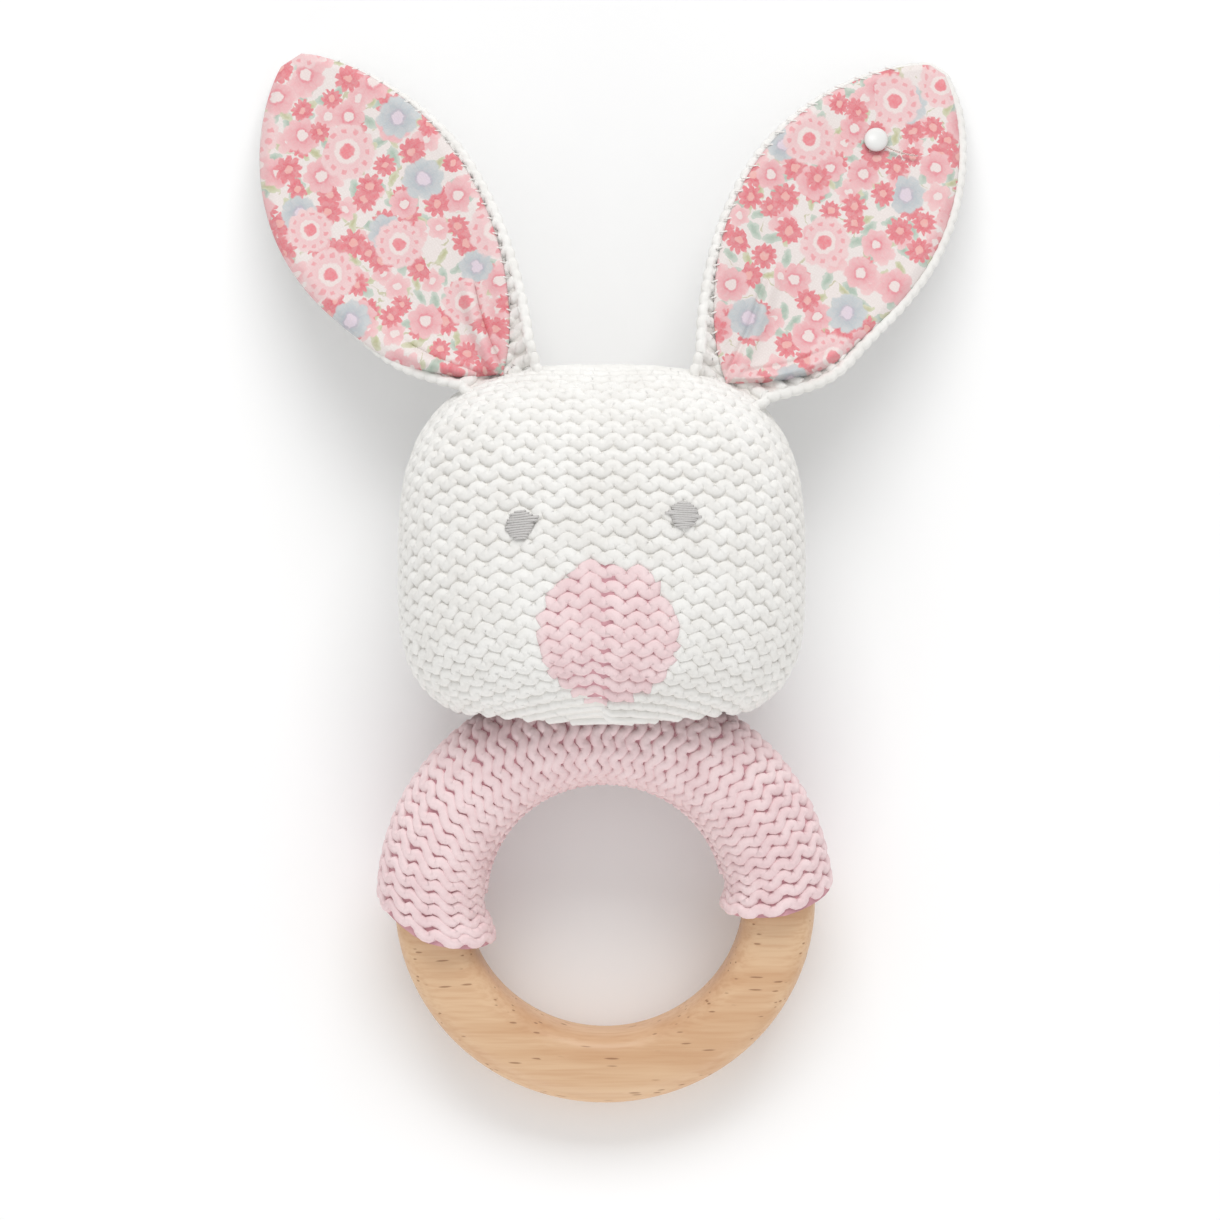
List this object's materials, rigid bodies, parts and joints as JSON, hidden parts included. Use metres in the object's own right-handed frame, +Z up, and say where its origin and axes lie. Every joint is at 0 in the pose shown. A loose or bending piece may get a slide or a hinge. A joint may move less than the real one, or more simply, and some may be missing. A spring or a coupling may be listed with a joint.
{
  "type": "teething ring",
  "caption": "Knitted rabbit-head rattle with folding cloth ears, sewn to a wooden teething ring by a knitted sleeve in which the ring turns.",
  "frame": {"origin": "centre of the bottom of the whole part's box, on the surface that the rattle lies on", "axes": "+Y from the wooden ring towards the ears, +Z up out of the face, +X to the right seen from above"},
  "size_m": [0.1182, 0.176, 0.049],
  "materials": {
    "beech": "oiled",
    "pink_yarn": "matte",
    "white_yarn": "matte",
    "floral_cotton": "matte",
    "grey_thread": "satin",
    "white_thread": "matte",
    "stuffing_fibre": "matte",
    "box_plastic": "matte",
    "pellet_plastic": "gloss",
    "tag_plastic": "gloss"
  },
  "bodies": {
    "head": {"head_cover": "white_yarn", "nose_panel": "pink_yarn", "crown_seam_yarn": "white_yarn", "neck_seam_yarn": "white_yarn", "stuffing_front": "stuffing_fibre", "stuffing_back": "stuffing_fibre", "rattle_box_back": "box_plastic", "rattle_box_front": "box_plastic", "eye_left": "grey_thread", "eye_right": "grey_thread"},
    "sleeve": {"ring_sleeve": "pink_yarn", "sleeve_seam_yarn": "pink_yarn"},
    "ring": {"wood_ring": "beech"},
    "ear_left": {"ear_left_knit": "white_yarn", "ear_left_print": "floral_cotton", "ear_left_thread": "white_thread"},
    "ear_right": {"ear_right_knit": "white_yarn", "ear_right_print": "floral_cotton", "ear_right_thread": "white_thread", "tag_pin": "tag_plastic"},
    "pellets": {"rattle_pellet_1": "pellet_plastic", "rattle_pellet_2": "pellet_plastic", "rattle_pellet_3": "pellet_plastic", "rattle_pellet_4": "pellet_plastic", "rattle_pellet_5": "pellet_plastic", "rattle_pellet_6": "pellet_plastic"}
  },
  "joints": [
    {"name": "neck_nod", "type": "hinge", "parent": "head", "child": "sleeve", "pos_m": [-0.00136, -0.02567, 0.02134], "axis": [-1, 0, 0], "range_deg": [0, 45]},
    {"name": "ring_turn", "type": "hinge", "parent": "sleeve", "child": "ring", "pos_m": [-0.00136, -0.05368, 0.01383], "axis": [0, -0.2588, 0.9659], "continuous": true},
    {"name": "ear_left_fold", "type": "hinge", "parent": "head", "child": "ear_left", "pos_m": [-0.01866, 0.03352, 0.028], "axis": [0.8368, 0.5476, 0], "range_deg": [0, 80]},
    {"name": "ear_right_fold", "type": "hinge", "parent": "head", "child": "ear_right", "pos_m": [0.01884, 0.03172, 0.028], "axis": [0.83, -0.5577, 0], "range_deg": [0, 80]},
    {"name": "pellets_bounce", "type": "slide", "parent": "head", "child": "pellets", "axis": [0, 0, 1], "range_m": [0, 0.009]}
  ]
}
